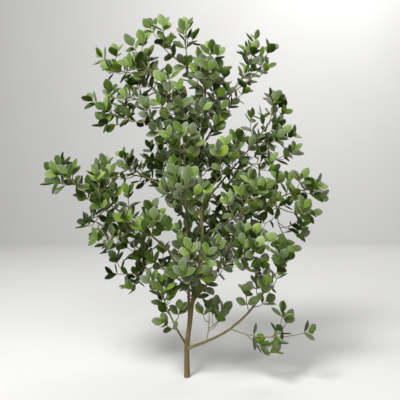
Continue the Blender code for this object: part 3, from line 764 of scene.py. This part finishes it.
def selectPoints(piece, wanted):
    bpy.ops.mesh.select_all(action="DESELECT")
    work = bmesh.from_edit_mesh(piece.data)
    for vert, chosen in zip(work.verts, wanted):
        vert.select = chosen
    work.select_flush(True)
    bmesh.update_edit_mesh(piece.data)


class Crowd:
    # what is placed so far, by cells of space, for testing what comes next against it
    cell = 0.03

    def __init__(self):
        self.cells = {}

    def cellsOf(self, points):
        low, high = ([int(pick(p[k] for p in points) // self.cell) for k in range(3)] for pick in (min, max))
        for x in range(low[0], high[0] + 1):
            for y in range(low[1], high[1] + 1):
                for z in range(low[2], high[2] + 1):
                    yield x, y, z

    def add(self, points, faces):
        tree = BVHTree.FromPolygons(points, faces)
        for cell in self.cellsOf(points):
            self.cells.setdefault(cell, []).append(tree)

    def touches(self, points, faces):
        near = {id(tree): tree for cell in self.cellsOf(points) for tree in self.cells.get(cell, ())}
        own = BVHTree.FromPolygons(points, faces)
        return any(own.overlap(tree) for tree in near.values())


kiteFaces = ((0, 1, 2, 3, 4, 5),)


def kite(matrix):
    # the leaf as a flat plate, from beyond its stalk on, for testing
    length, half = leafForm["length"], leafForm["width"] / 2
    corners = ((0.14, 0.15), (0.6, 1), (1, 0.25), (1, -0.25), (0.6, -1), (0.14, -0.15))
    return [matrix @ Vector((x * length, y * half, 0)) for x, y in corners]


def leafMatrix(foot, along, face, size):
    side = face.cross(along).normalized()
    turn = Matrix((along, side, along.cross(side))).transposed().to_4x4()
    return Matrix.Translation(foot) @ turn @ Matrix.Scale(size, 4)


def hidesTrunk(plate, dice):
    # most leaves that would hang before the trunk's middle are left out
    view = leafing["trunkShows"]
    middle = sum(plate, Vector()) / len(plate)
    if middle.y > 0 or not view["from"] < middle.z < view["to"]:
        return False
    across = next(row[1] for row in trunkRun if row[0] > middle.z)
    return abs(middle.x - across) < view["half"] and dice.random() < view["share"]


def seatLeaf(seat, crowd, dice):
    # tried a few times with some play, and left out where it would touch what is there
    outward = Vector((seat.foot.x - trunkRun[-1][1], seat.foot.y, 0))
    if outward.length > 0:
        outward.normalize()
    toFront = leafing["faceFront"][0] + leafing["faceFront"][1] * seat.foot.z
    for _ in range(leafing["tries"]):
        opening = math.radians(seat.spread + dice.uniform(-1, 1) * leafing["spreadPlay"])
        turned = seat.turn + dice.uniform(-1, 1) * leafing["turnPlay"]
        side = Matrix.Rotation(turned, 3, seat.axis) @ acrossOf(seat.axis)
        along = (seat.axis * math.cos(opening) + side * math.sin(opening) + up * leafing["lift"]).normalized()
        wish = seat.axis + up * leafing["faceUp"] + outward * leafing["faceOut"] + front * toFront
        matrix = leafMatrix(seat.foot, along, wish - along * wish.dot(along), seat.size)
        plate = kite(matrix)
        if hidesTrunk(plate, dice) or min(p.z for p in plate) < leafing["lowest"]:
            continue
        if not crowd.touches(plate, kiteFaces):
            crowd.add(plate, kiteFaces)
            return matrix
    return None


# the Foot colours are partly the leaf's own yellower base and partly painted light shining through it
# the tones that leaves are dealt, and the record's finish that each belongs to
# each tone's underside colour is its green darkened as painted shade, for undersides that face away from the light
tones = {
    "lime": {
        "slot": "leaf_fresh", "Dark": (0.165, 0.262, 0.030), "Light": (0.365, 0.440, 0.225),
        "Rib": (0.330, 0.420, 0.150), "Foot": (0.215, 0.345, 0.006), "Rim": (0.450, 0.510, 0.345),
        "under": (0.105, 0.190, 0.008), "bloom": 0.14,
    },
    "fresh": {
        "slot": "leaf_fresh", "Dark": (0.092, 0.160, 0.012), "Light": (0.265, 0.330, 0.168),
        "Rib": (0.230, 0.300, 0.115), "Foot": (0.140, 0.245, 0.004), "Rim": (0.360, 0.420, 0.270),
        "under": (0.066, 0.128, 0.005), "bloom": 0.12,
    },
    "mid": {
        "slot": "leaf_dark", "Dark": (0.078, 0.120, 0.022), "Light": (0.206, 0.242, 0.164),
        "Rib": (0.195, 0.240, 0.125), "Foot": (0.100, 0.170, 0.004), "Rim": (0.300, 0.340, 0.240),
        "under": (0.036, 0.072, 0.003), "bloom": 0.24,
    },
    "grey": {
        "slot": "leaf_grey", "Dark": (0.096, 0.130, 0.060), "Light": (0.222, 0.258, 0.192),
        "Rib": (0.215, 0.250, 0.162), "Foot": (0.108, 0.162, 0.020), "Rim": (0.345, 0.380, 0.300),
        "under": (0.042, 0.076, 0.008), "bloom": 0.34,
    },
    "deep": {
        "slot": "leaf_dark", "Dark": (0.026, 0.052, 0.004), "Light": (0.076, 0.122, 0.024),
        "Rib": (0.100, 0.155, 0.038), "Foot": (0.044, 0.092, 0.002), "Rim": (0.150, 0.195, 0.100),
        "under": (0.015, 0.034, 0.002), "bloom": 0.10,
    },
}
# by how old the pair is: which tones it takes, and how often; own stands for the mass's old tone
toneShares = {
    0: (("lime", 0.75), ("fresh", 1.0)),
    1: (("lime", 0.10), ("fresh", 0.44), ("mid", 0.70), ("own", 1.0)),
    2: (("fresh", 0.08), ("mid", 0.30), ("own", 1.0)),
}
ownShares = (("deep", 0.22), ("mid", 0.58), ("grey", 1.0))


def dealt(shares, roll):
    return next(tone for tone, upTo in shares if roll <= upTo)


def leafMaterials(name, tone):
    shades = {"Dark": 0.8, "Light": 1.0, "Rib": 1.2, "Foot": 1.1, "Rim": 1.3}
    colours = {label: tone[label] for label in shades}
    # the undersides take the darker colour, painted shade, in the same pattern
    under = {label: [c * shade for c in tone["under"]] for label, shade in shades.items()}
    relief, depth = leafForm["veinRelief"], leafForm["veinDepth"]
    upper = {**leafForm["upperFinish"], "Sheen Weight": tone["bloom"]}
    return [
        painted(name + "LeafUpper", leafPaint, colours, upper, relief, depth),
        painted(name + "LeafUnder", leafPaint, under, leafForm["underFinish"], relief, depth),
    ]


def growSprays():
    # the runs of each mass, then every leaf seat with its tone
    planned = []
    for spray in sprays + ringSprays():
        dice = random.Random(spray.name)
        stem = stemRun(spray, limbRuns, dice)
        sides = sideTwigs(stem, spray.twigs, dice)
        finer = random.Random(spray.name + " fine")
        stem = withShoot(stem, fineGrowth["tipShoot"], 0, finer)
        sides = [withShoot(run, fineGrowth["upturn"], fineGrowth["upturnRise"], finer) for run in sides]
        sides += finerTwigs(stem, fineGrowth["sideTwig"], spray.twigs, finer)
        reach = fineGrowth["twigletsTo"] * lengthOf(stem)
        inner = [run for run in sides if (run[0] - stem[0]).to_3d().length < reach]
        twiglets = [t for run in inner for t in finerTwigs(run, fineGrowth["twiglet"], 0, finer)]
        planned.append(([stem], sides, twiglets, leafing["opener"].get(spray.name, 1), finer))
    for name, run in limbRuns.items():
        finer = random.Random(name + " fine")
        bare = fineGrowth["bareLimbs"].get(name)
        fullness = 1 if name == "trunk" else 0
        planned.append(([], finerTwigs(run, fineGrowth["limbTwig"], fullness, finer, bare), [], 1, finer))
    return planned


def plantLeaves(planned, crowd):
    seats = []
    for stems, sides, twiglets, opener, dice in planned:
        own = dealt(ownShares, dice.random())
        for run in stems + sides + twiglets:
            for seat in leafSeats(run, opener, dice):
                tone = dealt(toneShares[seat.pair], dice.random())
                seats.append((seat, own if tone == "own" else tone))
    dice = random.Random("seats")
    placed = {tone: [] for tone in tones}
    order = {1: 0, 0: 1, 2: 2}
    for seat, tone in sorted(seats, key=lambda row: order[row[0].pair]):
        matrix = seatLeaf(seat, crowd, dice)
        if matrix:
            placed[tone].append((matrix, dice.random(), dice.randrange(len(leafForm["forms"]))))
    print("Leaf seats:", len(seats))
    return placed


def joined(name, shapes, material, slots=None):
    # many small shapes as one mesh; each is its points, its faces and the place of each point
    points, faces, places = [], [], []
    for shapePoints, shapeFaces, shapePlaces in shapes:
        start = len(points)
        points += shapePoints
        faces += [tuple(start + i for i in face) for face in shapeFaces]
        places += shapePlaces
    return meshPiece(name, points, faces, material, slots), places


# the last colour of each set, the painted light further up, is the same as its Light
twigColours = {"Dark": (0.15, 0.145, 0.050), "Light": (0.33, 0.31, 0.13), "Patch": (0.24, 0.165, 0.080),
               "Young": (0.33, 0.31, 0.13)}
shootColours = {"Dark": (0.14, 0.175, 0.045), "Light": (0.29, 0.34, 0.12), "Patch": (0.27, 0.25, 0.11),
                "Young": (0.29, 0.34, 0.12)}

leafPaint = makeLeafPaint()
planned = growSprays()
crowd = Crowd()
for run in limbRuns.values():
    crowd.add(*tube(run, 6)[:2])
for stems, sides, *_ in planned:
    for run in stems + sides:
        crowd.add(*tube(run, 3)[:2])

foliageNodes = [name for name in frame["nodes"] if name.startswith("foliage_")]
woody = [tube(smoothRun(run, 3), corners) for stems, sides, *_ in planned
         for runs, corners in ((stems, 8), (sides, 6)) for run in runs]
green = [tube(smoothRun(run, 3), 5) for row in planned for run in row[2]]
for name, shapes, colours, slot, nodes in (
    ("twigs", woody, twigColours, "bark", foliageNodes),
    ("green_shoots", green, shootColours, "leaf_fresh", ()),
):
    piece, places = joined(name, shapes, [barkMaterial(name + "Bark", colours, 0.4)])
    storePlaces(piece.data, "barkPlace", places)
    dress(piece, slot, *nodes)
    print(name, len(shapes), "runs,", len(piece.data.polygons), "faces")

leafShapes = [leafShape(form) for form in leafForm["forms"]]
for tone, rows in plantLeaves(planned, crowd).items():
    shapes, slots = [], []
    for matrix, chance, form in rows:
        points, faces, shapeSlots, places = leafShapes[form]
        shapes.append(([matrix @ p for p in points], faces, [(p.x, p.y, chance) for p in places]))
        slots += shapeSlots
    piece, places = joined(tone + "_leaves", shapes, leafMaterials(tone, tones[tone]), slots)
    storePlaces(piece.data, "leafPlace", places)
    dress(piece, tones[tone]["slot"])
    print("Leaves", tone, len(rows), "faces", len(piece.data.polygons))


studio = {
    "floorSize": 8.0,
    "floorBelow": 0.0003,
    "wallFrom": 2.6,  # how far behind the plant the floor turns up
    "wallHeight": 4.0,
    "wallBend": 1.6,
    "floorColours": {"Dark": (0.66, 0.655, 0.645), "Light": (0.70, 0.695, 0.685)},
    "worldColour": (1.0, 0.985, 0.96),
    "worldStrength": 0.13,
    "viewTransform": "Standard",
    "lights": (  # name, place, aim, size, power
        ("keyLight", (-0.62, -1.12, 1.60), (0, 0, 0.44), 0.70, 36),
        ("frontLight", (0.20, -2.00, 1.45), (0, 0, 0.44), 1.0, 17),
        ("backLight", (1.2, 1.8, 2.6), (0, 0, 0.4), 2.0, 46),
        ("wallLight", (0.0, 1.0, 2.9), (0, 3.0, 0.6), 1.6, 22),
    ),
    "camera": (0.020, -0.852, 0.2715),
    "lens": 50,
}


def selectEdges(floor, wanted):
    bpy.ops.mesh.select_all(action="DESELECT")
    work = bmesh.from_edit_mesh(floor.data)
    for edge in work.edges:
        edge.select = all(wanted(v.co) for v in edge.verts)
    bmesh.update_edit_mesh(floor.data)


def makeFloor():
    # a plane whose far edge is raised as a wall, with a wide bend between
    size, back = studio["floorSize"], studio["wallFrom"]
    bpy.ops.object.select_all(action="DESELECT")
    bpy.ops.mesh.primitive_plane_add(size=size, location=(0, back - size / 2, -studio["floorBelow"]))
    floor = bpy.context.object
    floor.name = "floor"
    bpy.ops.object.transform_apply(location=True, rotation=True, scale=True)
    bpy.ops.object.mode_set(mode="EDIT")
    selectEdges(floor, lambda co: abs(co.y - back) < 0.001)
    bpy.ops.mesh.extrude_region_move(TRANSFORM_OT_translate={"value": (0, 0, studio["wallHeight"])})
    selectEdges(floor, lambda co: abs(co.y - back) < 0.001 and abs(co.z) < 0.001)
    bpy.ops.mesh.bevel(offset=studio["wallBend"], segments=24)
    bpy.ops.object.mode_set(mode="OBJECT")
    floor.data.shade_smooth()
    material = bpy.data.materials.new("floorPaint")
    material.use_nodes = True
    tree = material.node_tree
    shader = tree.nodes["Principled BSDF"]
    shader.inputs["Roughness"].default_value = 0.9
    coords = addNode(tree, "ShaderNodeTexCoord")
    grain = addNode(tree, "ShaderNodeTexNoise", {"Scale": 3, "Detail": 2})
    tree.links.new(coords.outputs["Object"], grain.inputs["Vector"])
    tint = addNode(tree, "ShaderNodeMix", data_type="RGBA")
    tint.inputs["A"].default_value = (*studio["floorColours"]["Dark"], 1)
    tint.inputs["B"].default_value = (*studio["floorColours"]["Light"], 1)
    tree.links.new(grain.outputs["Fac"], tint.inputs["Factor"])
    tree.links.new(tint.outputs["Result"], shader.inputs["Base Color"])
    floor.data.materials.append(material)


def addLight(name, place, aim, size, power):
    data = bpy.data.lights.new(name, "AREA")
    data.shape = "DISK"
    data.size = size
    data.energy = power
    lamp = bpy.data.objects.new(name, data)
    lamp.location = place
    lamp.rotation_euler = (Vector(aim) - Vector(place)).to_track_quat("-Z", "Y").to_euler()
    bpy.context.scene.collection.objects.link(lamp)


makeFloor()
for row in studio["lights"]:
    addLight(*row)
world = bpy.data.worlds.new("softSky")
world.use_nodes = True
world.node_tree.nodes["Background"].inputs["Color"].default_value = (*studio["worldColour"], 1)
world.node_tree.nodes["Background"].inputs["Strength"].default_value = studio["worldStrength"]
bpy.context.scene.world = world
bpy.context.scene.view_settings.view_transform = studio["viewTransform"]

cameraData = bpy.data.cameras.new("camera")
cameraData.lens = studio["lens"]
camera = bpy.data.objects.new("camera", cameraData)
camera.location = studio["camera"]
camera.rotation_euler = (math.pi / 2, 0, 0)
bpy.context.scene.collection.objects.link(camera)
bpy.context.scene.camera = camera
print("Studio ready")
